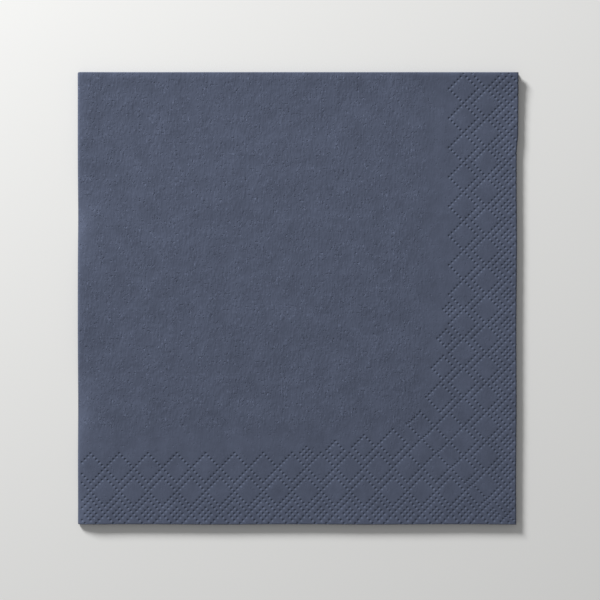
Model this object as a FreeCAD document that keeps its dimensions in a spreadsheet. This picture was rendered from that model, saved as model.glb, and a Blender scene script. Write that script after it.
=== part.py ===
"""A paper napkin, folded in half twice, with embossed dots along its two open edges.

The napkin is one sheet of soft paper, so it is one solid. The first fold closes the sheet along
the top edge, and the second fold wraps that pair of leaves along the left edge. Four leaves are
left, open at the right and at the bottom. The dots are drawn as diamonds: three lines of them
run along each open edge, and a few more fill the inner corner where the two borders meet.

Millimetres, +X to the right, +Y to the top edge, +Z up. The origin is the centre of the underside.
"""
import FreeCAD, Part
import math
import os
from types import SimpleNamespace

import Sketcher

NODE = "napkin"

# Driving dimensions in millimetres: alias, value and what it measures.
SIZES = (
    ("folded_width", 160.0, "second fold to the open right edge"),
    ("folded_length", 165.0, "first fold to the open bottom edge"),
    ("leaf_thickness", 0.36, "one leaf of soft paper, all its plies"),
    ("first_fold_gap", 0.24, "air between the two leaves of a pair"),
    ("second_fold_gap", 0.30, "air between the lower and the upper pair"),
    ("step_across", 1.045, "half the pitch of the dots, across the napkin"),
    ("step_along", 1.070, "half the pitch of the dots, along the napkin"),
    ("dot_depth", 0.20, "depth of a dot"),
    ("column_inset", 19.34, "open right edge to the first column of diamonds"),
    ("row_inset", 20.10, "open bottom edge to the first row of diamonds"),
    ("bare_margin", 0.40, "least flat paper between a dot and an edge or a fold"),
)

# The border is drawn in half pitches of its dots. A dot's neighbours lie one half pitch across and
# one along, so each dot fills a square cell that stands on its corner, one half pitch each way.
CELL_REACH = 1
LEAST_GAP = 0.3

# A diamond reaches five half pitches each way from its centre and holds the tip of the next one.
# Those of the third column have a block of nine dots at the centre, drawn as two more diamonds.
DIAMOND = 5
PLAIN_DIAMOND = (DIAMOND,)
FILLED_DIAMOND = (0, 2, DIAMOND)
BLOCK = (0, 2)
REPEAT = 2 * DIAMOND
SECOND_COLUMN = 8
THIRD_COLUMN = 15.5

# The inner corner is filled by diamonds that share their sides, counted in diamond reaches.
CORNER_DIAMONDS = ((1, 1), (1, 3), (2, 2), (3, 3))
SHRINKING_DIAMONDS = 3


def make_sizes(doc):
    """Keep the driving dimensions in a spreadsheet, one named cell each."""
    sheet = doc.addObject("Spreadsheet::Sheet", "sizes")
    for row, (alias, value, meaning) in enumerate(SIZES, start=1):
        sheet.set(f"A{row}", meaning)
        sheet.set(f"B{row}", str(value))
        sheet.setAlias(f"B{row}", alias)
    doc.recompute()
    return sheet


def start_sketch(body, name, role):
    """Start a sketch on one of the body's own origin planes, found by its role."""
    plane = next(plane for plane in body.Origin.OriginFeatures if plane.Role == role)
    sketch = body.newObject("Sketcher::SketchObject", name)
    sketch.AttachmentSupport = [(plane, "")]
    sketch.MapMode = "FlatFace"
    return sketch


def set_size(sketch, name, constraint, expression):
    """Add a named dimension to a sketch and bind it to the spreadsheet."""
    index = sketch.addConstraint(constraint)
    sketch.renameConstraint(index, name)
    sketch.setExpression(f"Constraints.{name}", expression)


# Places on a sketched edge, and the sketch's own origin and horizontal axis.
START, END, CENTRE = 1, 2, 3
ORIGIN, HORIZONTAL_AXIS = -1, -1

PAIR_HALF = "(sizes.leaf_thickness + sizes.first_fold_gap / 2)"
FOLD_RADIUS = f"({PAIR_HALF} + sizes.second_fold_gap / 2)"


def line(start, end):
    """A straight sketch edge between two (x, y) points."""
    return Part.LineSegment(FreeCAD.Vector(*start, 0), FreeCAD.Vector(*end, 0))


def half_ring(centre_x, radius, first, last):
    """A half circle about a point on the sketch's horizontal axis."""
    circle = Part.Circle(FreeCAD.Vector(centre_x, 0, 0), FreeCAD.Vector(0, 0, 1), radius)
    return Part.ArcOfCircle(circle, first, last)


def draw_section(body, size):
    """Draw one pair of leaves from its open end, closed by a half ring at the top edge.

    The sketch lies across the open right edge, and its horizontal axis is the middle of the pair.
    The air between the leaves ends square, one leaf's thickness short of the first fold.
    """
    sketch = start_sketch(body, "pair_section", "YZ_Plane")
    sketch.setExpression("AttachmentOffset.Base.z", "sizes.folded_width / 2")
    sketch.setExpression("AttachmentOffset.Base.y", PAIR_HALF)
    inner = size.first_fold_gap / 2
    outer = inner + size.leaf_thickness
    open_edge = size.folded_length / 2
    ring = open_edge - outer
    gap_end = open_edge - size.leaf_thickness
    quarter = math.pi / 2
    edges = (
        line((-open_edge, -outer), (ring, -outer)),
        half_ring(ring, outer, -quarter, quarter),
        line((ring, outer), (-open_edge, outer)),
        line((-open_edge, outer), (-open_edge, inner)),
        line((-open_edge, inner), (gap_end, inner)),
        line((gap_end, inner), (gap_end, -inner)),
        line((gap_end, -inner), (-open_edge, -inner)),
        line((-open_edge, -inner), (-open_edge, -outer)),
    )
    for edge in edges:
        sketch.addGeometry(edge, False)
    under, fold, over, upper_end, upper_wall, gap_stop, lower_wall, lower_end = range(8)
    sketch.addConstraint(Sketcher.Constraint("Tangent", under, END, fold, START))
    sketch.addConstraint(Sketcher.Constraint("Tangent", fold, END, over, START))
    around = (over, upper_end, upper_wall, gap_stop, lower_wall, lower_end, under)
    for edge, following in zip(around, around[1:]):
        sketch.addConstraint(Sketcher.Constraint("Coincident", edge, END, following, START))
    for level in (under, over, upper_wall, lower_wall):
        sketch.addConstraint(Sketcher.Constraint("Horizontal", level))
    for upright in (upper_end, lower_end):
        sketch.addConstraint(Sketcher.Constraint("Vertical", upright))
    sketch.addConstraint(Sketcher.Constraint("PointOnObject", upper_end, START, lower_end))
    sketch.addConstraint(Sketcher.Constraint("PointOnObject", fold, CENTRE, HORIZONTAL_AXIS))
    sketch.addConstraint(
        Sketcher.Constraint("Symmetric", gap_stop, START, gap_stop, END, HORIZONTAL_AXIS))
    fold_size = Sketcher.Constraint("Radius", fold, outer)
    gap_size = Sketcher.Constraint("DistanceY", gap_stop, END, gap_stop, START, 2 * inner)
    open_size = Sketcher.Constraint("DistanceX", under, START, ORIGIN, START, open_edge)
    ring_size = Sketcher.Constraint("DistanceX", ORIGIN, START, fold, CENTRE, ring)
    stop_size = Sketcher.Constraint("DistanceX", ORIGIN, START, gap_stop, START, gap_end)
    set_size(sketch, "fold_radius", fold_size, PAIR_HALF)
    set_size(sketch, "gap", gap_size, "sizes.first_fold_gap")
    set_size(sketch, "to_open_edge", open_size, "sizes.folded_length / 2")
    set_size(sketch, "to_first_fold", ring_size, f"sizes.folded_length / 2 - {PAIR_HALF}")
    set_size(sketch, "to_gap_end", stop_size, "sizes.folded_length / 2 - sizes.leaf_thickness")
    return sketch


def draw_second_fold(body, size):
    """Draw the way that the pair takes round the second fold, at the left edge."""
    sketch = start_sketch(body, "second_fold_path", "XZ_Plane")
    pair_half = size.leaf_thickness + size.first_fold_gap / 2
    radius = pair_half + size.second_fold_gap / 2
    sketch.setExpression("AttachmentOffset.Base.y", f"{PAIR_HALF} + {FOLD_RADIUS}")
    open_end = size.folded_width / 2
    centre = -open_end + pair_half + radius
    quarter = math.pi / 2
    edges = (
        line((open_end, -radius), (centre, -radius)),
        half_ring(centre, radius, quarter, 3 * quarter),
        line((centre, radius), (open_end, radius)),
    )
    for edge in edges:
        sketch.addGeometry(edge, False)
    lower, ring, upper = range(3)
    sketch.addConstraint(Sketcher.Constraint("Tangent", lower, END, ring, END))
    sketch.addConstraint(Sketcher.Constraint("Tangent", ring, START, upper, START))
    for level in (lower, upper):
        sketch.addConstraint(Sketcher.Constraint("Horizontal", level))
    sketch.addConstraint(Sketcher.Constraint("Vertical", lower, START, upper, END))
    sketch.addConstraint(Sketcher.Constraint("PointOnObject", ring, CENTRE, HORIZONTAL_AXIS))
    ring_size = Sketcher.Constraint("Radius", ring, radius)
    open_size = Sketcher.Constraint("DistanceX", ORIGIN, START, lower, START, open_end)
    fold_size = Sketcher.Constraint("DistanceX", ring, CENTRE, ORIGIN, START, -centre)
    set_size(sketch, "fold_radius", ring_size, FOLD_RADIUS)
    set_size(sketch, "to_open_edge", open_size, "sizes.folded_width / 2")
    set_size(sketch, "to_second_fold", fold_size,
             f"sizes.folded_width / 2 - {PAIR_HALF} - {FOLD_RADIUS}")
    return sketch


def fold_sheet(doc, size):
    """Carry the pair's section round the second fold: the whole plain napkin, four leaves deep."""
    body = doc.addObject("PartDesign::Body", "folded_sheet")
    doc.recompute()
    section = draw_section(body, size)
    path = draw_second_fold(body, size)
    doc.recompute()
    leaves = body.newObject("PartDesign::AdditivePipe", "four_leaves")
    leaves.Profile = section
    leaves.Spine = (path, [""])
    doc.recompute()
    return body


def column_motifs(count):
    """List the motifs along the right edge in four layers, each motif as (across, along, reaches).

    Places are half pitches from the crossing of the first column and the first row of diamonds.
    Beside the first column, a line of ever smaller diamonds climbs from the inner corner.
    """
    first = [(0, REPEAT * n, PLAIN_DIAMOND) for n in range(count)]
    second = [(SECOND_COLUMN, REPEAT * n - DIAMOND, PLAIN_DIAMOND) for n in range(count)]
    third = [(THIRD_COLUMN, REPEAT * n, FILLED_DIAMOND) for n in range(-2, count)]
    corner = [(-DIAMOND * x, DIAMOND * y, PLAIN_DIAMOND) for x, y in CORNER_DIAMONDS]
    foot = REPEAT + REPEAT + DIAMOND
    for n in range(SHRINKING_DIAMONDS):
        corner.append((n - SECOND_COLUMN, foot + REPEAT * n, (DIAMOND - n,)))
    corner.append((-DIAMOND, foot + REPEAT * SHRINKING_DIAMONDS, BLOCK))
    return first, second, corner, third


def flat_limits(size):
    """Give the part of the top leaf that dots may use, in half pitches: left, right, low, high."""
    pair_half = size.leaf_thickness + size.first_fold_gap / 2
    fold_depth = 2 * pair_half + size.second_fold_gap / 2
    right = size.column_inset - size.bare_margin
    left = size.column_inset + fold_depth + size.bare_margin - size.folded_width
    low = size.bare_margin - size.row_inset
    high = size.folded_length - size.row_inset - pair_half - size.bare_margin
    return (left / size.step_across, right / size.step_across,
            low / size.step_along, high / size.step_along)


def place_dots(size):
    """Place every dot of the border, along the right edge and mirrored along the bottom edge.

    A dot is left out where its cell would meet an edge or a fold, where it lies inside a diamond
    that is already there, and where it comes too near a dot that it doesn't share a side with.
    Where an edge cuts a diamond open, two dots may meet at a corner only, and one is left out.
    """
    left, right, low, high = flat_limits(size)
    dots = set()
    placed = []

    def is_on_flat(across, along):
        fits_across = left <= across - CELL_REACH and across + CELL_REACH <= right
        return fits_across and low <= along - CELL_REACH and along + CELL_REACH <= high

    def is_hidden(across, along):
        return any(abs(across - x) + abs(along - y) < reach for x, y, reach in placed)

    def is_crowded(across, along):
        side = 2 * CELL_REACH
        for x, y in dots:
            rise = abs(across - x + along - y)
            fall = abs(across - x - along + y)
            if max(rise, fall) < side + LEAST_GAP and (rise % side or fall % side):
                return True
        return False

    def draw_diamond(across, along, reach):
        for step in range(-reach, reach + 1):
            for rest in (reach - abs(step), abs(step) - reach):
                x, y = across + step, along + rest
                if is_on_flat(x, y) and not is_hidden(x, y) and not is_crowded(x, y):
                    dots.add((x, y))

    def corner_touches():
        touching = set()
        for x, y in dots:
            right_of, behind = x + CELL_REACH, y + CELL_REACH
            for other, between in (
                ((right_of + CELL_REACH, y), ((right_of, behind), (right_of, y - CELL_REACH))),
                ((x, behind + CELL_REACH), ((right_of, behind), (x - CELL_REACH, behind))),
            ):
                if other in dots and dots.isdisjoint(between):
                    touching.add(other)
        return touching

    longest = max(high - low, right - left)
    for layer in column_motifs(math.ceil(longest / REPEAT)):
        mirrored = [(-along, -across, reaches) for across, along, reaches in layer]
        for across, along, reaches in layer + mirrored:
            for reach in reaches:
                draw_diamond(across, along, reach)
            placed.append((across, along, max(reaches)))
    while touching := corner_touches():
        dots -= touching
    return sorted(dots)


def trace_rims(sides):
    """Join directed cell sides into closed rings of corners."""
    following = dict(sides)
    rings = []
    while following:
        corner, after = following.popitem()
        ring = [corner]
        while after != ring[0]:
            ring.append(after)
            after = following.pop(after)
        rings.append(ring)
    return rings


def enclosed_area(ring):
    """Twice the signed area of a ring, positive where it runs anticlockwise."""
    return sum(x * next_y - next_x * y for (x, y), (next_x, next_y) in zip(ring, ring[1:] + ring[:1]))


def emboss(top, size):
    """Give the faces that take the place of the top face, with every dot pressed into it.

    A dot is a four-sided hollow that fills its cell, so the dots of a diamond share their sides.
    What is left of the top is one face round all the dots, and a flat island in each diamond.
    """
    crossing_x = size.folded_width / 2 - size.column_inset
    crossing_y = size.row_inset - size.folded_length / 2
    level = top.CenterOfMass.z

    def point(corner, depth=0.0):
        across, along = corner
        x = crossing_x + across * size.step_across
        y = crossing_y + along * size.step_along
        return FreeCAD.Vector(x, y, level - depth)

    hollows = []
    sides = set()
    for across, along in place_dots(size):
        right, left = (across + CELL_REACH, along), (across - CELL_REACH, along)
        back, front = (across, along + CELL_REACH), (across, along - CELL_REACH)
        bottom = point((across, along), size.dot_depth)
        for start, end in ((right, back), (back, left), (left, front), (front, right)):
            slope = Part.makePolygon([point(start), point(end), bottom, point(start)])
            hollows.append(Part.Face(slope))
            if (end, start) in sides:
                sides.remove((end, start))
            else:
                sides.add((start, end))
    rims = []
    islands = []
    for ring in trace_rims(sides):
        wire = Part.makePolygon([point(corner) for corner in ring[::-1] + ring[-1:]])
        if enclosed_area(ring) > 0:
            rims.append(wire)
        else:
            islands.append(Part.Face(wire))
    ground = Part.Face([top.OuterWire] + rims)
    return [ground] + islands + hollows


def make_napkin(doc, folded_sheet, size):
    """Close the embossed top and the other faces of the folded sheet into one solid."""
    faces = sorted(folded_sheet.Shape.Faces, key=lambda face: face.CenterOfMass.z)
    top = faces.pop()
    skin = Part.makeCompound(faces + emboss(top, size))
    skin.sewShape()
    napkin = doc.addObject("Part::Feature", NODE)
    napkin.Label = NODE
    napkin.Shape = Part.makeSolid(skin.Shells[0])
    napkin.Placement = FreeCAD.Placement()
    return napkin


def check(doc, part):
    """Stop if any object failed, or the part isn't one whole solid."""
    for item in doc.Objects:
        if "Invalid" in item.State or "Error" in item.State:
            raise RuntimeError(f"{item.Label} failed: {item.State}")
    shape = part.Shape
    if shape.isNull() or not shape.isValid() or len(shape.Solids) != 1 or shape.Volume <= 0:
        raise RuntimeError(f"{part.Label} isn't one valid solid")


def main():
    doc = FreeCAD.newDocument("paper_napkin")
    sheet = make_sizes(doc)
    size = SimpleNamespace(**{alias: float(sheet.get(alias)) for alias, value, meaning in SIZES})
    folded_sheet = fold_sheet(doc, size)
    napkin = make_napkin(doc, folded_sheet, size)
    doc.recompute()
    check(doc, napkin)
    os.makedirs("parts", exist_ok=True)
    napkin.Shape.exportStep(f"parts/{NODE}.step")
    box = napkin.Shape.BoundBox
    print(f"{NODE}: {box.XLength:.2f} x {box.YLength:.2f} x {box.ZLength:.2f} mm, "
          f"{napkin.Shape.Volume / 1000:.2f} cm3, {len(napkin.Shape.Faces)} faces")


main()
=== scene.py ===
# %% [markdown]
# # A paper napkin, folded in half twice
#
# The napkin is one sheet of soft paper. It is folded along the top edge, then along the left
# edge, so four leaves lie on each other and are open at the right and at the bottom. Rollers
# have pressed a border of dots into the paper along the open edges.
#
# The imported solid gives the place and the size. It stays in the physics model, and this script
# makes the piece that is seen in its place: one closed mesh, worked out as a flat sheet first and
# then folded by a formula.

import math

import bpy
import numpy as np
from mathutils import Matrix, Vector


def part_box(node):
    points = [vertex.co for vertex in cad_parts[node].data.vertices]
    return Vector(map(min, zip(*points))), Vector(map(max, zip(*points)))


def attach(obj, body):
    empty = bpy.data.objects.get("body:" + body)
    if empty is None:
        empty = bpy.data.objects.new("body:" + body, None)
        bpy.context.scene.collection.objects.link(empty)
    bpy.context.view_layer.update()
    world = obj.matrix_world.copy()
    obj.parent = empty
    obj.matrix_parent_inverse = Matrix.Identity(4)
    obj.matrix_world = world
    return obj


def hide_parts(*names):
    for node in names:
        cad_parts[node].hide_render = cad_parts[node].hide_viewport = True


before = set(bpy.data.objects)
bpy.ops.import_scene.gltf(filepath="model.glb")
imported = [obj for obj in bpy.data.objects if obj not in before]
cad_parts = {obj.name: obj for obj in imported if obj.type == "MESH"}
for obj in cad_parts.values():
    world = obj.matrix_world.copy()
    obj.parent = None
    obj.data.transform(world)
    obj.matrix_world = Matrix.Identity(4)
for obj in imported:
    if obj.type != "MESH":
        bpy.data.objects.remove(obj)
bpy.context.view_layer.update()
node_low, node_high = (np.array(corner) * 1000 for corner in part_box("napkin"))
print("solid, mm:", node_low.round(2), "to", node_high.round(2))

# %% [markdown]
# ## The sizes of the stack
#
# All sizes are in millimetres until the mesh is filled. Two leaves that the first fold joins are a
# pair. A leaf's two surfaces lie 0.12 and 0.48 mm from the middle of its pair, and the middle of
# the pair goes round the second fold in a half circle of 0.63 mm. Soft paper draws in a little
# where it is folded, so the top edge ends 0.4 mm inside the solid's.

# %% Sizes of the folded sheet
LEAF_THICKNESS = 0.36
FIRST_FOLD_GAP = 0.24
SECOND_FOLD_GAP = 0.30
INSIDE = FIRST_FOLD_GAP / 2
OUTSIDE = INSIDE + LEAF_THICKNESS
PAIR_TURN = OUTSIDE + SECOND_FOLD_GAP / 2
STACK = 2 * (PAIR_TURN + OUTSIDE)

RIGHT_EDGE, BOTTOM_EDGE = node_high[0], node_low[1]
SECOND_FOLD = node_low[0] + PAIR_TURN + OUTSIDE
DRAWN_IN = 0.4
FIRST_FOLD = node_high[1] - OUTSIDE - DRAWN_IN
print("folds start at x", round(SECOND_FOLD, 2), "and y", round(FIRST_FOLD, 2))
print("height of the stack:", round(STACK, 2))

# %% [markdown]
# ## The pattern of dots
#
# The dots lie on a fine lattice and draw diamonds. Three columns of diamonds run along the right
# edge, and the same three lie as rows along the bottom edge. The outer column has a block of nine
# dots in each diamond. Where column and row meet, more diamonds fill the corner.
#
# Each diamond could be drawn by hand, but the whole border follows from a few motifs and one
# mirror, so the motifs are listed as numbers of half pitches and every dot is worked out.

# %% List the motifs along the right edge
STEP_ACROSS, STEP_ALONG = 1.045, 1.070
COLUMN_INSET, ROW_INSET = 19.34, 20.10
CROSSING_X, CROSSING_Y = RIGHT_EDGE - COLUMN_INSET, BOTTOM_EDGE + ROW_INSET

DIAMOND = 5
PLAIN_DIAMOND = (DIAMOND,)
FILLED_DIAMOND = (0, 2, DIAMOND)
BLOCK = (0, 2)
REPEAT = 2 * DIAMOND
SECOND_COLUMN, THIRD_COLUMN = 8, 15.5
CORNER_DIAMONDS = ((1, 1), (1, 3), (2, 2), (3, 3))
SHRINKING_DIAMONDS = 3


def column_motifs(count):
    """List motifs as (across, along, reaches), in half pitches from the crossing of the first
    column and the first row. A reach is how far a diamond's tips lie from its centre."""
    first = [(0, REPEAT * n, PLAIN_DIAMOND) for n in range(count)]
    second = [(SECOND_COLUMN, REPEAT * n - DIAMOND, PLAIN_DIAMOND) for n in range(count)]
    third = [(THIRD_COLUMN, REPEAT * n, FILLED_DIAMOND) for n in range(-2, count)]
    corner = [(-DIAMOND * x, DIAMOND * y, PLAIN_DIAMOND) for x, y in CORNER_DIAMONDS]
    foot = REPEAT + REPEAT + DIAMOND
    for n in range(SHRINKING_DIAMONDS):
        corner.append((n - SECOND_COLUMN, foot + REPEAT * n, (DIAMOND - n,)))
    corner.append((-DIAMOND, foot + REPEAT * SHRINKING_DIAMONDS, BLOCK))
    return first, second, corner, third


print("motifs per column:", [len(layer) for layer in column_motifs(16)])

# %% Choose the lattice of quarter pitches, with a whole number of large cells along
QUARTER_ACROSS, QUARTER_ALONG = STEP_ACROSS / 2, STEP_ALONG / 2
LARGE_CELL = 4
COLUMNS = round((RIGHT_EDGE - SECOND_FOLD) / QUARTER_ACROSS)
ROWS = LARGE_CELL * math.ceil((FIRST_FOLD - BOTTOM_EDGE) / QUARTER_ALONG / LARGE_CELL)
CROSSING_COLUMN = round((CROSSING_X - SECOND_FOLD) / QUARTER_ACROSS)
CROSSING_ROW = math.ceil((CROSSING_Y - BOTTOM_EDGE) / QUARTER_ALONG)
print("lattice", COLUMNS, "x", ROWS, "crossing at", CROSSING_COLUMN, CROSSING_ROW)

# %% Draw a diamond and keep it clear of older dots
CROWDED = 2.3


def diamond_dots(across, along, reach):
    """Dots on the four sides of a diamond: across + s and along +- (reach - |s|)."""
    s = np.arange(-reach, reach + 1)
    rest = reach - abs(s)
    sides = np.concatenate([np.stack([s, rest], 1), np.stack([s, -rest], 1)])
    return np.unique(sides, axis=0) + (across, along)


def keep_clear(new, dots, motifs):
    """Leave out new dots inside an older motif, |dx| + |dy| < reach, and those whose cell would
    overlap the cell of an older dot of another lattice. Cells are squares on their corner."""
    keep = np.ones(len(new), bool)
    if len(motifs):
        apart = abs(new[:, None] - motifs[None, :, :2]).sum(2)
        keep &= ~(apart < motifs[None, :, 2]).any(1)
    if len(dots):
        gap = new[:, None] - dots[None]
        rise, fall = abs(gap.sum(2)), abs(gap[..., 0] - gap[..., 1])
        other_lattice = (rise % 2 > 0) | (fall % 2 > 0)
        keep &= ~((np.maximum(rise, fall) < CROWDED) & other_lattice).any(1)
    return new[keep]


print("dots of one diamond:", len(diamond_dots(0, 0, DIAMOND)))


# %% Place all dots
def place_dots():
    """Draw the motifs layer by layer, each with its mirror image along the bottom edge."""
    dots, motifs = np.zeros((0, 2)), np.zeros((0, 3))
    for layer in column_motifs(math.ceil(ROWS / 2 / REPEAT)):
        mirrored = [(-along, -across, reaches) for across, along, reaches in layer]
        for across, along, reaches in layer + mirrored:
            for reach in reaches:
                new = keep_clear(diamond_dots(across, along, reach), dots, motifs)
                dots = np.unique(np.concatenate([dots, new]), axis=0)
            motifs = np.concatenate([motifs, [(across, along, max(reaches))]])
    return dots


dots = place_dots()
dot_column = np.rint(CROSSING_COLUMN + 2 * dots[:, 0]).astype(int)
dot_row = np.rint(CROSSING_ROW + 2 * dots[:, 1]).astype(int)
on_sheet = (dot_column > 0) & (dot_column <= COLUMNS) & (dot_row > 0) & (dot_row <= ROWS)
dot_column, dot_row = dot_column[on_sheet], dot_row[on_sheet]
print("dots:", len(dot_row))

# %% [markdown]
# ## How deep the paper lies at each lattice point
#
# A dot is a small round hollow. On the lattice its own point is deepest, the four points beside it
# are just drawn down, and the points between it and its neighbours stay up. Adding shifted copies
# of one array gives all hollows at once.

# %% Press the dots into an array of depths
DEEPEST, BESIDE = 1.0, 0.14
HOLLOW = ((0, 0, DEEPEST), (-1, 0, BESIDE), (1, 0, BESIDE), (0, -1, BESIDE), (0, 1, BESIDE))

pressed = np.zeros((COLUMNS + 3, ROWS + 3))
for shift_x, shift_y, share in HOLLOW:
    np.add.at(pressed, (dot_column + 1 + shift_x, dot_row + 1 + shift_y), share)
pressed = pressed[1:-1, 1:-1].clip(0, 1)
print("pressed points:", int((pressed > 0).sum()), "of", pressed.size)

# %% [markdown]
# ## The flat sheet as one grid
#
# The sheet is unfolded in two directions. Across, it runs from the right edge of the lower pair
# to the second fold and back to the right edge of the upper pair. Along, it runs from the bottom
# edge of a pair's outer leaf up to the first fold and back down its inner leaf. Each grid line
# has its place on the leaf and the angle that it has turned through in a fold.
#
# On the real napkin the column of diamonds sits 0.78 mm lower than its lattice says. That much
# more of the pattern fits below the first fold, so the grid runs that much further.

# %% Grid lines across and along one leaf
COLUMN_LOW = 0.78

leaf_x = CROSSING_X + (np.arange(COLUMNS + 1) - CROSSING_COLUMN) * QUARTER_ACROSS
leaf_x[0], leaf_x[-1] = SECOND_FOLD, RIGHT_EDGE
leaf_y = CROSSING_Y + (np.arange(ROWS + 1) - CROSSING_ROW) * QUARTER_ALONG
leaf_y[0], leaf_y[-1] = BOTTOM_EDGE, FIRST_FOLD + COLUMN_LOW
print("leaf across from", leaf_x[0].round(2), "to", leaf_x[-1].round(2))
print("leaf along from", leaf_y[0].round(2), "to", leaf_y[-1].round(2))

# %% Grid lines of the whole sheet
TURN_COLUMNS, TURN_ROWS = 32, 8


def there_and_back(leaf, turn_steps, far_end_first):
    """Places and turned angles of the grid lines: along a leaf, round a fold, and back."""
    outward = leaf[::-1] if far_end_first else leaf
    place = np.concatenate([outward, np.full(turn_steps - 1, outward[-1]), outward[::-1]])
    turned = np.zeros(len(place))
    turned[len(leaf) - 1:len(leaf) + turn_steps] = np.linspace(0, math.pi, turn_steps + 1)
    turned[len(leaf) + turn_steps:] = math.pi
    return place, turned


across_x, across_turn = there_and_back(leaf_x, TURN_COLUMNS, True)
along_y, along_turn = there_and_back(leaf_y, TURN_ROWS, False)
LAST_COLUMN, LAST_ROW = len(across_x) - 1, len(along_y) - 1
print("grid of the whole sheet:", LAST_COLUMN, "x", LAST_ROW)

# %% [markdown]
# ## Folding the sheet
#
# The first fold makes the section of a pair: a surface at distance a from the pair's middle has
# the height a cos(turned) and goes a sin(turned) beyond the fold. The second fold carries that
# section round a half circle. Both are one formula of two numbers, so a plain function can fold
# all points at once, and no simulation is needed to lay soft paper flat.

# %% Fold points of the sheet
def fold_sheet(column, row, distance):
    """x goes out by (turn radius + height) sin, and z down by (turn radius + height) cos."""
    height = distance * np.cos(along_turn[row])
    y = along_y[row] + distance * np.sin(along_turn[row])
    radius = PAIR_TURN + height
    x = across_x[column] - radius * np.sin(across_turn[column])
    z = STACK / 2 - radius * np.cos(across_turn[column])
    return x, y, z


print("top of the stack:", fold_sheet(np.array([LAST_COLUMN]), np.array([0]), OUTSIDE))

# %% [markdown]
# ## The soft stack
#
# A real napkin isn't a flat plate. The pressed border is a little thinner than the field, the
# paper lies in gentle waves, and the folds puff up. Along the left edge the fold is pinched flat
# in three places, and there its slope faces the light and shows as a pale line.
#
# If every leaf gets its own waves, they cut through each other. So one share of the full height
# is worked out for each place, and all leaves are scaled by it together: they can't cross, and
# the underside stays flat on the table.

# %% Smooth steps and bells
def smooth_step(value, start, end):
    """0 before start, 1 after end, with the smooth curve 3t^2 - 2t^3 between them."""
    t = ((value - start) / (end - start)).clip(0, 1)
    return t * t * (3 - 2 * t)


def bump(value, centre, width):
    """A bell: exp(-((value - centre) / width)^2)."""
    return np.exp(-((value - centre) / width) ** 2)


print("half way up a step:", smooth_step(np.array(0.5), 0, 1))

# %% The pressed border and the gentle waves
BORDER_WIDTH_X, BORDER_WIDTH_Y = 34.0, 34.5
BORDER_SLOPE = 6
WAVES = (
    # length in mm, direction and start in radians, share of the height
    (61, 0.35, 0.4, 0.34),
    (43, 2.05, 1.9, 0.26),
    (31, 1.20, 4.1, 0.18),
    (23, 2.75, 2.6, 0.12),
    (17, 0.80, 5.2, 0.10),
)


def border_share(x, y):
    """1 in the pressed border along the right and bottom edges, 0 in the plain field: one minus
    the product of what is left of each edge's smooth step."""
    start_x, start_y = RIGHT_EDGE - BORDER_WIDTH_X, -BOTTOM_EDGE - BORDER_WIDTH_Y
    from_right = smooth_step(x, start_x - BORDER_SLOPE, start_x + BORDER_SLOPE)
    from_bottom = smooth_step(-y, start_y - BORDER_SLOPE, start_y + BORDER_SLOPE)
    return 1 - (1 - from_right) * (1 - from_bottom)


def gentle_waves(x, y):
    """A sum of slanted sine waves, share sin(2 pi (x cos + y sin) / length + start), between
    about -1 and 1."""
    waves = 0
    for length, turn, start, share in WAVES:
        travel = x * math.cos(turn) + y * math.sin(turn)
        waves = waves + share * np.sin(2 * math.pi * travel / length + start)
    return waves


print("longest wave:", WAVES[0][0], "mm")

# %% Pinched and puffed folds, and the share of the full height
EVEN_PUFF, PUFF_REACH = 0.06, 8.0
PINCH_REACH, PINCH_POWER = 3.2, 1.3
PUFFS = ((0.20, 62, 18), (0.22, -6, 17))
PINCHES = ((0.90, 30, 12), (0.92, -40, 15), (0.60, -75, 12))
TOP_PUFF, TOP_REACH = 0.25, 6
BORDER_PRESS, WAVE_HEIGHT = 0.05, 0.050


def folded_edge(x, y):
    """How much the left fold is pressed flat (positive) or puffed up (negative): bells along y,
    as (share, centre, width), that die away with the distance from the fold."""
    inward = (x - node_low[0]).clip(0, None)
    pinched = sum(share * bump(y, centre, width) for share, centre, width in PINCHES)
    puffed = sum((share * bump(y, centre, width) for share, centre, width in PUFFS), EVEN_PUFF)
    flattened = pinched * np.exp(-(inward / PINCH_REACH) ** PINCH_POWER)
    return flattened - puffed * np.exp(-(inward / PUFF_REACH) ** 2)


def stack_share(x, y):
    """The share of the full height that the stack has at each place: 1, less the border's press,
    plus the waves, which are half as high in the border, less the left fold, plus the top fold."""
    border = border_share(x, y)
    top_puff = TOP_PUFF * np.exp(-(FIRST_FOLD - y).clip(0, None) / TOP_REACH)
    waves = WAVE_HEIGHT * gentle_waves(x, y) * (1 - 0.5 * border)
    return 1.0 - BORDER_PRESS * border + waves - folded_edge(x, y) + top_puff


sample = stack_share(*np.meshgrid(np.linspace(-80, 80, 60), np.linspace(-82, 82, 60)))
print("stack share from", sample.min().round(3), "to", sample.max().round(3))

# %% [markdown]
# ## Cells large and small
#
# A hollow needs cells of half a millimetre, but at that size the whole sheet would take over a
# million triangles. So the sheet is divided into blocks. The border of the top leaf has the
# smallest cells, and the plain field and the leaves hidden inside have large ones. A large cell
# beside small ones takes their corners into its own outline, so the mesh stays closed.

# %% Cuts between the blocks
OUTER_SIDE, INNER_SIDE = 0, 1
BAND_COLUMNS, BAND_ROWS, RIM = 80, 84, 4
LOWER_TURN, UPPER_TURN = COLUMNS, COLUMNS + TURN_COLUMNS
TURN_END = ROWS + TURN_ROWS

COLUMN_CUTS = (0, RIM, BAND_COLUMNS, LOWER_TURN, UPPER_TURN, LAST_COLUMN - BAND_COLUMNS,
               LAST_COLUMN - RIM, LAST_COLUMN)
ROW_CUTS = (0, RIM, BAND_ROWS, ROWS, TURN_END, LAST_ROW - RIM, LAST_ROW)
print("blocks on each side:", (len(COLUMN_CUTS) - 1) * (len(ROW_CUTS) - 1))


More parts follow.
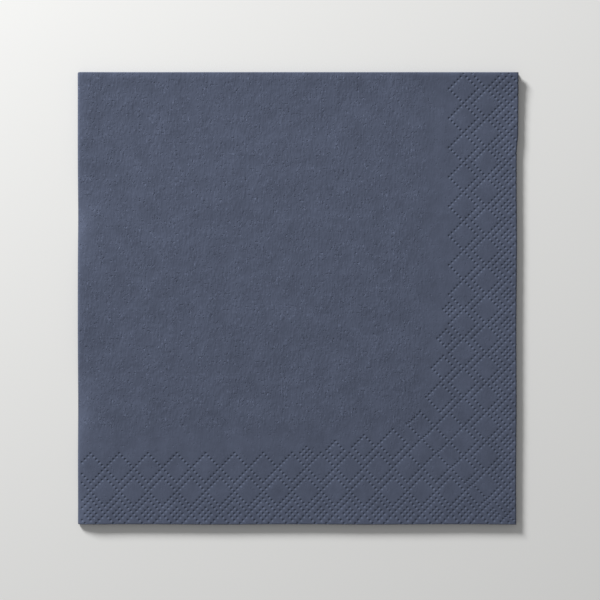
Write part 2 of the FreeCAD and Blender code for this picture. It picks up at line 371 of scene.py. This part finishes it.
# %% Cell sizes of the blocks
def cell_size(side, column, row):
    """Columns and rows that one cell of the block that starts at (column, row) takes in: small
    in the border and at the rim, large in the field and on the inner sides."""
    on_column_rim = column in (0, LAST_COLUMN - RIM)
    on_row_rim = row in (0, LAST_ROW - RIM)
    in_turn = LOWER_TURN <= column < UPPER_TURN
    upper = column >= UPPER_TURN
    in_column_band = column < BAND_COLUMNS or column >= LAST_COLUMN - BAND_COLUMNS
    banded = row < BAND_ROWS or (row < ROWS and in_column_band)
    if side == OUTER_SIDE and banded:
        return (2, 1) if in_turn else (1, 1) if upper else (2, 2)
    wide = 4 if in_turn or (side == OUTER_SIDE and upper and row < TURN_END) else 8
    tall = 4 if side == OUTER_SIDE and row < ROWS else 8
    if column in (0, RIM) or column >= LAST_COLUMN - BAND_COLUMNS:
        wide = min(wide, 4)
    if row in (0, RIM, BAND_ROWS) or row >= TURN_END:
        tall = 4
    if ROWS <= row < TURN_END:
        tall = 1
    if on_column_rim:
        wide, tall = RIM, min(tall, 1 if upper and row < ROWS else 4)
    if on_row_rim:
        wide, tall = (1 if not in_turn and (row == 0 and upper) else 2), RIM
    if on_column_rim and on_row_rim:
        wide, tall = (1, 1) if upper and row == 0 else (2, 2)
    return wide, tall


blocks = [
    (side, c0, c1, r0, r1, *cell_size(side, c0, r0))
    for side in (OUTER_SIDE, INNER_SIDE)
    for c0, c1 in zip(COLUMN_CUTS, COLUMN_CUTS[1:])
    for r0, r1 in zip(ROW_CUTS, ROW_CUTS[1:])
]
print("first block:", blocks[0])

# %% Mark the grid points that the cells use
used = np.zeros((2, LAST_COLUMN + 1, LAST_ROW + 1), bool)
for side, c0, c1, r0, r1, wide, tall in blocks:
    if (c1 - c0) % wide or (r1 - r0) % tall:
        raise ValueError(f"cells of {wide} x {tall} don't fill the block {c0}-{c1}, {r0}-{r1}")
    used[side, c0:c1 + 1:wide, r0:r1 + 1:tall] = True
used[:, [0, -1]] |= used[::-1, [0, -1]]
used[:, :, [0, -1]] |= used[::-1, :, [0, -1]]
point_number = np.cumsum(used).reshape(used.shape) - 1
print("points:", int(used.sum()))


# %% Outline the cells
def outline_cells(side, c0, c1, r0, r1, wide, tall):
    """Each cell's outline: along its near side, up, back and down, with every used point on it.
    Gives the points in one row and the number of corners of each cell."""
    column, row = np.meshgrid(np.arange(c0, c1, wide), np.arange(r0, r1, tall), indexing="ij")
    near, up = np.arange(wide), np.arange(tall)
    back, down = np.arange(wide, 0, -1), np.arange(tall, 0, -1)
    step_c = np.r_[near, np.full(tall, wide), back, np.zeros(tall, int)]
    step_r = np.r_[np.zeros(wide, int), up, np.full(wide, tall), down]
    if side == INNER_SIDE:
        step_c, step_r = step_c[::-1], step_r[::-1]
    column = column.reshape(-1, 1) + step_c
    row = row.reshape(-1, 1) + step_r
    keep = used[side, column, row]
    return point_number[side, column, row][keep], keep.sum(1)


outlines = [outline_cells(*block) for block in blocks]
print("cells:", sum(len(counts) for points, counts in outlines))


# %% Close the rim
def outline_rim():
    """Quads between the two sides, all the way round the edge of the sheet."""
    c, r = np.arange(LAST_COLUMN + 1), np.arange(LAST_ROW + 1)
    column = np.r_[c, np.full(LAST_ROW, LAST_COLUMN), c[-2::-1], np.zeros(LAST_ROW, int)]
    row = np.r_[np.zeros(LAST_COLUMN + 1, int), r[1:], np.full(LAST_COLUMN, LAST_ROW), r[-2::-1]]
    keep = used[OUTER_SIDE, column, row]
    outer, inner = point_number[:, column[keep], row[keep]]
    quads = np.stack([outer[1:], outer[:-1], inner[:-1], inner[1:]], 1)
    return quads.ravel(), np.full(len(quads), 4)


outlines.append(outline_rim())
corners = np.concatenate([points for points, counts in outlines])
corner_counts = np.concatenate([counts for points, counts in outlines])
rim_faces = len(outlines[-1][1])
print("faces", len(corner_counts), "triangles", int((corner_counts - 2).sum()))

# %% [markdown]
# ## Lay the points in place
#
# The used points are folded, then the stack's share of height is applied. The dots take part of
# that height away in the top leaf. On the underside they stand out, so there the ground between
# them is raised by a tenth of a millimetre and their tips touch the table.

# %% Fold the used points
point_side, point_column, point_row = np.nonzero(used)
distance = np.where(point_side == OUTER_SIDE, OUTSIDE, INSIDE)
x, y, z = fold_sheet(point_column, point_row, distance)
level = z / STACK
print("folded points:", len(x))

# %% Find the depth of each point
on_lower, on_upper = point_column <= LOWER_TURN, point_column >= UPPER_TURN
before_turn, after_turn = point_row <= ROWS, point_row >= TURN_END
lattice_column = np.where(on_lower, LOWER_TURN - point_column, point_column - UPPER_TURN)
lattice_row = np.where(before_turn, point_row, LAST_ROW - point_row)
on_leaf = (on_lower | on_upper) & (before_turn | after_turn)
depth = pressed[lattice_column.clip(0, COLUMNS), lattice_row.clip(0, ROWS)] * on_leaf

on_side_edge = (point_column == 0) | (point_column == LAST_COLUMN)
on_end_edge = (point_row == 0) | (point_row == LAST_ROW)
seen = (point_side == OUTER_SIDE) & before_turn
depth = depth * (seen | on_side_edge | on_end_edge)
print("pressed points of the mesh:", int((depth > 0).sum()))

# %% Apply the share of height, the dots and the underside
DOT_DEPTH = 0.18
UNDERSIDE_LIFT = 0.10
LIFT_START = 3

border = border_share(x, y)
share = stack_share(x, y) - DOT_DEPTH / STACK * depth
underside = seen & on_lower
lift = UNDERSIDE_LIFT * border * smooth_step(x, SECOND_FOLD, SECOND_FOLD + LIFT_START)
z = z * share + np.where(underside, lift * (1 - depth), 0)
print("height of the mesh:", z.max().round(2), "mm")

# %% [markdown]
# ## Nothing is quite exact
#
# Two rollers press the border, one for the column and one for the row, and neither meets the
# other's lattice. Each dot could be moved by itself, but then its hollow would leave the grid. So
# all points drift by smooth amounts that depend only on their place, which keeps the four leaves
# together.
#
# The cut edges never match either: each leaf ends a little further in or out than the next, and
# the right edge stands out a little near the top. High powers of the place keep that near the
# edges, away from most of the dots.

# %% Drift of the two rollers
ROW_RIGHT, ROW_RIGHT_POWER = 0.73, 1.5
ROW_HIGH, ROW_HIGHER, ROW_HIGHEST_FROM = 0.18, 0.20, 0.5
ROW_ALONE, COLUMN_ALONE = -6, 2
DRIFT_FADE = 4


def roller_drift(x, y):
    """How far the pattern lies from its lattice. The column's roller runs 0.78 mm low. The row's
    runs 0.73 t^1.5 mm to the right, with t from 0 at the fold to 1 at the right edge, and 0.18 mm
    high, which grows to 0.38 mm half way along. The two meet along the diagonal of the corner,
    and the drift fades out at the cut edges."""
    from_right, from_bottom = RIGHT_EDGE - x, y - BOTTOM_EDGE
    column = smooth_step(from_bottom - from_right, ROW_ALONE, COLUMN_ALONE)
    t = ((x - SECOND_FOLD) / (RIGHT_EDGE - SECOND_FOLD)).clip(0, 1)
    row_x = ROW_RIGHT * t ** ROW_RIGHT_POWER
    row_y = ROW_HIGH + ROW_HIGHER * smooth_step(t, 0, ROW_HIGHEST_FROM)
    drift_x = (1 - column) * row_x * smooth_step(from_right, 0, DRIFT_FADE)
    drift_y = (1 - column) * row_y - column * COLUMN_LOW
    return drift_x, drift_y * smooth_step(from_bottom, 0, DRIFT_FADE)


drift_x, drift_y = roller_drift(x, y)
print("drift across up to", drift_x.max().round(2), "and along", drift_y.min().round(2),
      "to", drift_y.max().round(2), "mm")


# %% How far each leaf ends from the cut
LEAVES = 4
LEAF_SHIFT, LEAF_TURN = 0.16, 2.4
EDGE_WAVE, EDGE_WAVE_LENGTH, EDGE_WAVE_TURN = 0.07, 9, 1.7
SHORT_OF_RIGHT, TOP_STANDS_OUT, BOTTOM_DRAWS_IN = 0.12, 0.50, 0.20


def ragged_edge(level, along, start):
    """How far a leaf ends beyond or short of the cut: 0.16 sin(2.4 leaf + start) plus a slow wave
    0.07 sin(along / 9 + 1.7 leaf + start), so each of the four leaves ends elsewhere."""
    leaf = np.floor(level * LEAVES).clip(0, LEAVES - 1)
    wave = np.sin(along / EDGE_WAVE_LENGTH + leaf * EDGE_WAVE_TURN + start)
    return LEAF_SHIFT * np.sin(leaf * LEAF_TURN + start) + EDGE_WAVE * wave


def right_edge_taper(y):
    """The right edge stands out above y = 54 to 60 mm and draws in slowly towards the bottom."""
    stands_out = TOP_STANDS_OUT * smooth_step(y, 54, 60)
    return stands_out - SHORT_OF_RIGHT - BOTTOM_DRAWS_IN * smooth_step(-y, -50, 80)


print("right edge at the top stands out by", right_edge_taper(node_high[1]).round(2), "mm")

# %% Move the points
RIGHT_START, RIGHT_POWER = 0.7, 20
BOTTOM_START, BOTTOM_POWER, SHORT_OF_BOTTOM = 2.9, 6, 0.05

toward_right = ((x - node_low[0]) / (RIGHT_EDGE - node_low[0])).clip(0, 1) ** RIGHT_POWER
toward_bottom = ((node_high[1] - y) / (node_high[1] - BOTTOM_EDGE)).clip(0, 1) ** BOTTOM_POWER
at_right = ragged_edge(level, y, RIGHT_START) + right_edge_taper(y)
at_bottom = ragged_edge(level, x, BOTTOM_START) - SHORT_OF_BOTTOM
new_x = x + drift_x + toward_right * at_right
new_y = y + drift_y + toward_bottom * at_bottom
points = np.stack([new_x, new_y, z], 1) / 1000
print("points", len(points), "from", points.min(0).round(4), "to", points.max(0).round(4))

# %% [markdown]
# ## Fill the mesh
#
# Everything so far is arrays. The points, the corners of the faces and the faces go into the mesh
# in one call each. The faces are shaded smooth, and the rim of the sheet stays flat and takes the
# second material, the cut edge.

# %% Fill the mesh
napkin_mesh = bpy.data.meshes.new("folded_napkin")
napkin_mesh.vertices.add(len(points))
napkin_mesh.vertices.foreach_set("co", points.astype(np.float32).ravel())
napkin_mesh.loops.add(len(corners))
napkin_mesh.loops.foreach_set("vertex_index", corners.astype(np.int32))
napkin_mesh.polygons.add(len(corner_counts))
first_corner = np.concatenate([[0], np.cumsum(corner_counts)[:-1]])
napkin_mesh.polygons.foreach_set("loop_start", first_corner.astype(np.int32))
napkin_mesh.update(calc_edges=True)
repaired = napkin_mesh.validate(verbose=False)
print("mesh repaired:", repaired, "polygons:", len(napkin_mesh.polygons))

# %% Mark the rim and place the object
on_rim = np.zeros(len(corner_counts), bool)
on_rim[-rim_faces:] = True
napkin_mesh.polygons.foreach_set("use_smooth", ~on_rim)
napkin_mesh.polygons.foreach_set("material_index", on_rim.astype(np.int32))
napkin = bpy.data.objects.new("folded_napkin", napkin_mesh)
bpy.context.collection.objects.link(napkin)
print("rim faces:", rim_faces)

# %% [markdown]
# ## Where each point lies on the flat sheet
#
# The paper's grain must follow the sheet round the folds. A UV map holds each point's place on
# the unfolded sheet, measured along the grid lines, with the inner side beside the outer side. The
# attribute `border` says how far a point lies in the pressed border. The attribute `dot_place`
# gives each face corner its place from the dot that the face touches, so that the shading can
# round each hollow off between the few points that the mesh has for it.

# %% UV map and the border's attribute
def run_length(place, turned, radius):
    """The length along the sheet: straight steps plus the turned angle times the radius."""
    return np.concatenate([[0], np.cumsum(abs(np.diff(place)) + np.diff(turned) * radius)])


sheet_across = run_length(across_x, across_turn, PAIR_TURN)
sheet_along = run_length(along_y, along_turn, (INSIDE + OUTSIDE) / 2)
SHEET_WIDTH, SHEET_LENGTH = sheet_across[-1], sheet_along[-1]
u = (sheet_across[point_column] / SHEET_WIDTH + point_side) / 2
v = sheet_along[point_row] / SHEET_LENGTH
uv_map = napkin_mesh.uv_layers.new(name="flat_sheet")
uv_map.uv.foreach_set("vector", np.stack([u, v], 1)[corners].astype(np.float32).ravel())

border_attribute = napkin_mesh.attributes.new("border", "FLOAT", "POINT")
border_attribute.data.foreach_set("value", border.astype(np.float32))
print("flat sheet:", SHEET_WIDTH.round(1), "x", SHEET_LENGTH.round(1), "mm")

# %% Place of each face corner from its dot
FAR_FROM_DOTS = (9, 9, 0)

is_dot = seen & (depth > 0.99)
dot_of_face = np.maximum.reduceat(np.where(is_dot[corners], corners, -1), first_corner)
dot_of_corner = np.repeat(dot_of_face, corner_counts)
flat_place = np.stack([sheet_across[point_column], sheet_along[point_row], 0 * depth], 1)
dot_place = flat_place[corners] - flat_place[dot_of_corner]
dot_place[dot_of_corner < 0] = FAR_FROM_DOTS
place_attribute = napkin_mesh.attributes.new("dot_place", "FLOAT_VECTOR", "CORNER")
place_attribute.data.foreach_set("vector", dot_place.astype(np.float32).ravel())
print("faces at a dot:", int((dot_of_face >= 0).sum()))

# %% [markdown]
# ## Tissue paper
#
# Soft paper is dull. Close up it shows fine crepe that runs one way, short fibres, small dents
# and pale flecks where a fibre catches the light, in rough patches with smoother paper between
# them; the flecks are painted glints, paler colour rather than relief. Seen from further away it
# has soft clouds where the pulp is thicker. All of them come from noise stretched along the sheet,
# as height for the shading and as small changes of colour. Pressed paper is smoother, so the
# border's attribute quiets the crepe and the painted glints there.
#
# The faces and the cut edges both show grain and pressed dots. So each of the two effects is a
# node group that gives only heights, masks and tones, and the two materials differ in strength.

# %% Helpers for nodes
def new_node(tree, kind, **settings):
    """Add a node and set its properties."""
    node = tree.nodes.new(kind)
    for name, value in settings.items():
        setattr(node, name, value)
    return node


def set_inputs(node, **values):
    """Set input sockets by name, with _ for a space."""
    for name, value in values.items():
        node.inputs[name.replace("_", " ")].default_value = value
    return node


def maths(tree, operation, first, second):
    """A Math node of two values or sockets."""
    node = new_node(tree, "ShaderNodeMath", operation=operation)
    for socket, value in zip(node.inputs, (first, second)):
        if isinstance(value, bpy.types.NodeSocket):
            tree.links.new(value, socket)
        else:
            socket.default_value = value
    return node.outputs[0]


print("helpers ready")


# %% Helpers for noise and ramps
def stretched_noise(tree, place, scale, detail, roughness):
    """Noise on the sheet with its own scale across and along, from 0 to 1."""
    mapping = new_node(tree, "ShaderNodeMapping")
    mapping.inputs["Scale"].default_value = (*scale, 1)
    noise = new_node(tree, "ShaderNodeTexNoise")
    set_inputs(noise, Scale=1.0, Detail=detail, Roughness=roughness)
    tree.links.new(place, mapping.inputs["Vector"])
    tree.links.new(mapping.outputs["Vector"], noise.inputs["Vector"])
    return noise.outputs["Fac"]


def ramp(tree, value, start, end):
    """0 before start, 1 after end, smooth between them."""
    node = new_node(tree, "ShaderNodeMapRange", interpolation_type="SMOOTHSTEP")
    set_inputs(node, From_Min=start, From_Max=end)
    tree.links.new(value, node.inputs["Value"])
    return node.outputs["Result"]


def centred(tree, noise, strength):
    """Noise about zero: (noise - 0.5) times strength."""
    return maths(tree, "MULTIPLY", maths(tree, "SUBTRACT", noise, 0.5), strength)


print("noise helpers ready")

# %% Start the group of the grain with noises of different size and direction
grain = bpy.data.node_groups.new("tissue_grain_and_glints", "ShaderNodeTree")
for name, kind in (("Place", "NodeSocketVector"), ("Quiet", "NodeSocketFloat")):
    grain.interface.new_socket(name, in_out="INPUT", socket_type=kind)
for name in ("Height", "Tone"):
    grain.interface.new_socket(name, in_out="OUTPUT", socket_type="NodeSocketFloat")
grain_in = new_node(grain, "NodeGroupInput")
grain_out = new_node(grain, "NodeGroupOutput")
place, quiet = grain_in.outputs["Place"], grain_in.outputs["Quiet"]

crepe = stretched_noise(grain, place, (1.15, 0.41), 1.5, 0.45)
fibres = stretched_noise(grain, place, (4.0, 2.4), 2.0, 0.6)
streaks = stretched_noise(grain, place, (1.2, 0.30), 1.0, 0.5)
clouds = stretched_noise(grain, place, (0.14, 0.11), 4.0, 0.65)
patches = ramp(grain, stretched_noise(grain, place, (0.30, 0.26), 2.0, 0.5), 0.32, 0.72)
dents = ramp(grain, stretched_noise(grain, place, (1.35, 1.05), 1.0, 0.5), 0.57, 0.72)
# Painted glints: pale flecks of colour where a fibre would catch the light.
glints = ramp(grain, stretched_noise(grain, place, (1.9, 0.8), 1.0, 0.5), 0.56, 0.74)
print("noise nodes:", len(grain.nodes))

# %% Height of the grain: crepe and fibres everywhere, streaks and dents in the rough patches
CREPE_HEIGHT, FIBRE_HEIGHT, STREAK_HEIGHT, DENT_DEPTH = 0.145, 0.01, 0.12, 0.15
BORDER_QUIET = 0.65

smoothed = maths(grain, "SUBTRACT", 1.0, maths(grain, "MULTIPLY", quiet, BORDER_QUIET))
fine = maths(grain, "ADD", maths(grain, "MULTIPLY", crepe, CREPE_HEIGHT),
             maths(grain, "MULTIPLY", fibres, FIBRE_HEIGHT))
coarse = maths(grain, "SUBTRACT", maths(grain, "MULTIPLY", streaks, STREAK_HEIGHT),
               maths(grain, "MULTIPLY", dents, DENT_DEPTH))
rough = maths(grain, "ADD", fine, maths(grain, "MULTIPLY", coarse, patches))
height = maths(grain, "MULTIPLY", rough, smoothed)
grain.links.new(height, grain_out.inputs["Height"])
print("with the height:", len(grain.nodes))

# %% Tone of the grain: fibres and clouds about zero, painted glints in the rough patches
FIBRE_TONE, CLOUD_TONE, GLINT_TONE = 0.25, 0.60, 0.62

glints = maths(grain, "MULTIPLY", glints, maths(grain, "MULTIPLY", patches, smoothed))
tone = maths(grain, "ADD", centred(grain, fibres, FIBRE_TONE), centred(grain, clouds, CLOUD_TONE))
tone = maths(grain, "ADD", tone, maths(grain, "MULTIPLY", glints, GLINT_TONE))
grain.links.new(tone, grain_out.inputs["Tone"])
print("group nodes:", len(grain.nodes))

# %% Group of the pressed dots
DOT_RADIUS, DOT_HOLLOW = 0.72, 0.26

dot_group = bpy.data.node_groups.new("pressed_dot", "ShaderNodeTree")
dot_group.interface.new_socket("From Dot", in_out="INPUT", socket_type="NodeSocketVector")
dot_group.interface.new_socket("Hollow", in_out="OUTPUT", socket_type="NodeSocketFloat")
dot_group.interface.new_socket("Depth", in_out="OUTPUT", socket_type="NodeSocketFloat")
dot_in, dot_out = new_node(dot_group, "NodeGroupInput"), new_node(dot_group, "NodeGroupOutput")
from_dot = new_node(dot_group, "ShaderNodeVectorMath", operation="LENGTH")
dot_group.links.new(dot_in.outputs["From Dot"], from_dot.inputs[0])
hollow = ramp(dot_group, from_dot.outputs["Value"], DOT_RADIUS, 0.0)
dot_group.links.new(hollow, dot_out.inputs["Hollow"])
dot_group.links.new(maths(dot_group, "MULTIPLY", hollow, DOT_HOLLOW), dot_out.inputs["Depth"])
print("hollow of", DOT_HOLLOW, "mm over a radius of", DOT_RADIUS, "mm")


# %% Read the mesh's map and attributes in a material
def read_sheet(tree):
    """The place on the flat sheet in mm, the border's share and the place from the dot."""
    sheet_place = new_node(tree, "ShaderNodeUVMap", uv_map="flat_sheet")
    in_mm = new_node(tree, "ShaderNodeMapping")
    in_mm.inputs["Scale"].default_value = (2 * SHEET_WIDTH, SHEET_LENGTH, 1)
    tree.links.new(sheet_place.outputs["UV"], in_mm.inputs["Vector"])
    border_value = new_node(tree, "ShaderNodeAttribute", attribute_name="border")
    dot_value = new_node(tree, "ShaderNodeAttribute", attribute_name="dot_place")
    return in_mm.outputs["Vector"], border_value.outputs["Fac"], dot_value.outputs["Vector"]


def place_group(tree, group, **links):
    """Place a node group and link its named inputs, with _ for a space."""
    node = new_node(tree, "ShaderNodeGroup", node_tree=group)
    for name, source in links.items():
        tree.links.new(source, node.inputs[name.replace("_", " ")])
    return node.outputs


print("map scale:", 2 * SHEET_WIDTH.round(1), SHEET_LENGTH.round(1))

# %% Materials of the faces and of the cut edges
DARK_BLUE = (0.0728, 0.0866, 0.1296, 1)
# The hollow's blue is paler than the dye: painted light that lifts the shade in the dots' hollows.
HOLLOW_PAINTED_LIGHT = (0.082, 0.100, 0.149, 1)
MILLIMETRE = 0.001


def paper_material(name, tone_strength, grain_strength):
    """Dull blue paper. Height is the crepe, fibres, streaks and dents less the dots' depth. Colour
    is blue, painted paler in a hollow as painted light against the hollow's shade, times one plus
    the tone of fibres, clouds and painted glints."""
    material = bpy.data.materials.new(name)
    material.use_nodes = True
    tree = material.node_tree
    shader = tree.nodes["Principled BSDF"]
    set_inputs(shader, Roughness=1.0, Specular_IOR_Level=0.10, Sheen_Weight=0.04,
               Sheen_Roughness=0.6)
    place, border_value, from_dot = read_sheet(tree)
    grain_value = place_group(tree, grain, Place=place, Quiet=border_value)
    dot_value = place_group(tree, dot_group, From_Dot=from_dot)

    grain_height = maths(tree, "MULTIPLY", grain_value["Height"], grain_strength)
    height = maths(tree, "SUBTRACT", grain_height, dot_value["Depth"])
    bump_node = set_inputs(new_node(tree, "ShaderNodeBump"), Strength=1.0, Distance=MILLIMETRE)
    tree.links.new(height, bump_node.inputs["Height"])
    tree.links.new(bump_node.outputs["Normal"], shader.inputs["Normal"])

    # Painted light: the dye turns paler inside each hollow, against the hollow's shade.
    dye_and_hollow_light = new_node(tree, "ShaderNodeMix", data_type="RGBA")
    set_inputs(dye_and_hollow_light, A=DARK_BLUE, B=HOLLOW_PAINTED_LIGHT)
    tree.links.new(dot_value["Hollow"], dye_and_hollow_light.inputs["Factor"])
    colour = new_node(tree, "ShaderNodeMix", data_type="RGBA", blend_type="MULTIPLY")
    colour.inputs["Factor"].default_value = 1.0
    tree.links.new(dye_and_hollow_light.outputs["Result"], colour.inputs["A"])
    # The tone holds the painted glints as well as the fibres and clouds.
    tone_with_glints = maths(tree, "MULTIPLY", grain_value["Tone"], tone_strength)
    tree.links.new(maths(tree, "ADD", tone_with_glints, 1.0), colour.inputs["B"])
    tree.links.new(colour.outputs["Result"], shader.inputs["Base Color"])
    return material


napkin_mesh.materials.append(paper_material("dyed_tissue", 1.0, 1.0))
napkin_mesh.materials.append(paper_material("cut_edge", 1.4, 0.5))
print("materials:", [material.name for material in napkin_mesh.materials])

# %% [markdown]
# ## Floor, light and camera
#
# The photograph looks straight down. Each of its dots is dark at its upper left and bright at its
# lower right, so the light comes from the upper left, and rather low. One round lamp a bit over a
# metre away gives the same soft fall of light from corner to corner, and an even white world
# fills the shadows. Together they light level paper so that its colour comes out about as it is
# written.
#
# The camera hangs straight above with a long lens, so the four sides stay parallel. Its height
# follows from the millimetres that one pixel of the photograph shows.

# %% Floor
FLOOR_HALF = 2.0

floor_mesh = bpy.data.meshes.new("floor")
floor_corners = [(-FLOOR_HALF, -FLOOR_HALF, 0), (FLOOR_HALF, -FLOOR_HALF, 0),
                 (FLOOR_HALF, FLOOR_HALF, 0), (-FLOOR_HALF, FLOOR_HALF, 0)]
floor_mesh.from_pydata(floor_corners, [], [(0, 1, 2, 3)])
floor = bpy.data.objects.new("floor", floor_mesh)
bpy.context.collection.objects.link(floor)
floor_paint = bpy.data.materials.new("pale_floor")
floor_paint.use_nodes = True
floor_shader = floor_paint.node_tree.nodes["Principled BSDF"]
set_inputs(floor_shader, Base_Color=(0.72, 0.72, 0.71, 1), Roughness=1.0, Specular_IOR_Level=0.0)
floor_mesh.materials.append(floor_paint)
print("floor", 2 * FLOOR_HALF, "m wide")

# %% World and lamp
LAMP_FROM, LAMP_DISTANCE, LAMP_WIDTH = (-0.54, 0.74, 0.385), 1.15, 0.32
WORLD_SHARE, LAMP_SHARE = 0.33, 0.67

world = bpy.data.worlds.new("studio")
bpy.context.scene.world = world
world.use_nodes = True
set_inputs(world.node_tree.nodes["Background"], Color=(1, 1, 1, 1), Strength=WORLD_SHARE)

direction = np.array(LAMP_FROM) / np.linalg.norm(LAMP_FROM)
lamp_data = bpy.data.lights.new("window", "AREA")
lamp_data.shape = "DISK"
lamp_data.size = LAMP_WIDTH
lamp_data.energy = LAMP_SHARE * math.pi ** 2 * LAMP_DISTANCE ** 2 / direction[2]
lamp = bpy.data.objects.new("window", lamp_data)
lamp.location = direction * LAMP_DISTANCE
lamp.rotation_euler = (-lamp.location).to_track_quat("-Z", "Y").to_euler()
bpy.context.collection.objects.link(lamp)
print("lamp", round(lamp_data.energy, 1), "W from", direction.round(2))

# %% Camera
MM_PER_PIXEL, IMAGE_PIXELS = 0.3642, 600
LENS, SENSOR = 100.0, 36.0
OFFSET_X, OFFSET_Y = 1.06, -0.91

camera_data = bpy.data.cameras.new("camera")
camera_data.lens, camera_data.sensor_width = LENS, SENSOR
camera_distance = MM_PER_PIXEL * IMAGE_PIXELS * LENS / SENSOR
camera = bpy.data.objects.new("camera", camera_data)
camera.location = (OFFSET_X / 1000, OFFSET_Y / 1000, (camera_distance + STACK) / 1000)
bpy.context.collection.objects.link(camera)
bpy.context.scene.camera = camera
bpy.context.scene.view_settings.view_transform = "Standard"
print("camera", round(camera_distance), "mm above the napkin")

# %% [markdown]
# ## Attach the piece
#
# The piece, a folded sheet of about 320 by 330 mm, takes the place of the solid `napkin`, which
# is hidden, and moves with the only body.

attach(napkin, "root")
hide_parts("napkin")
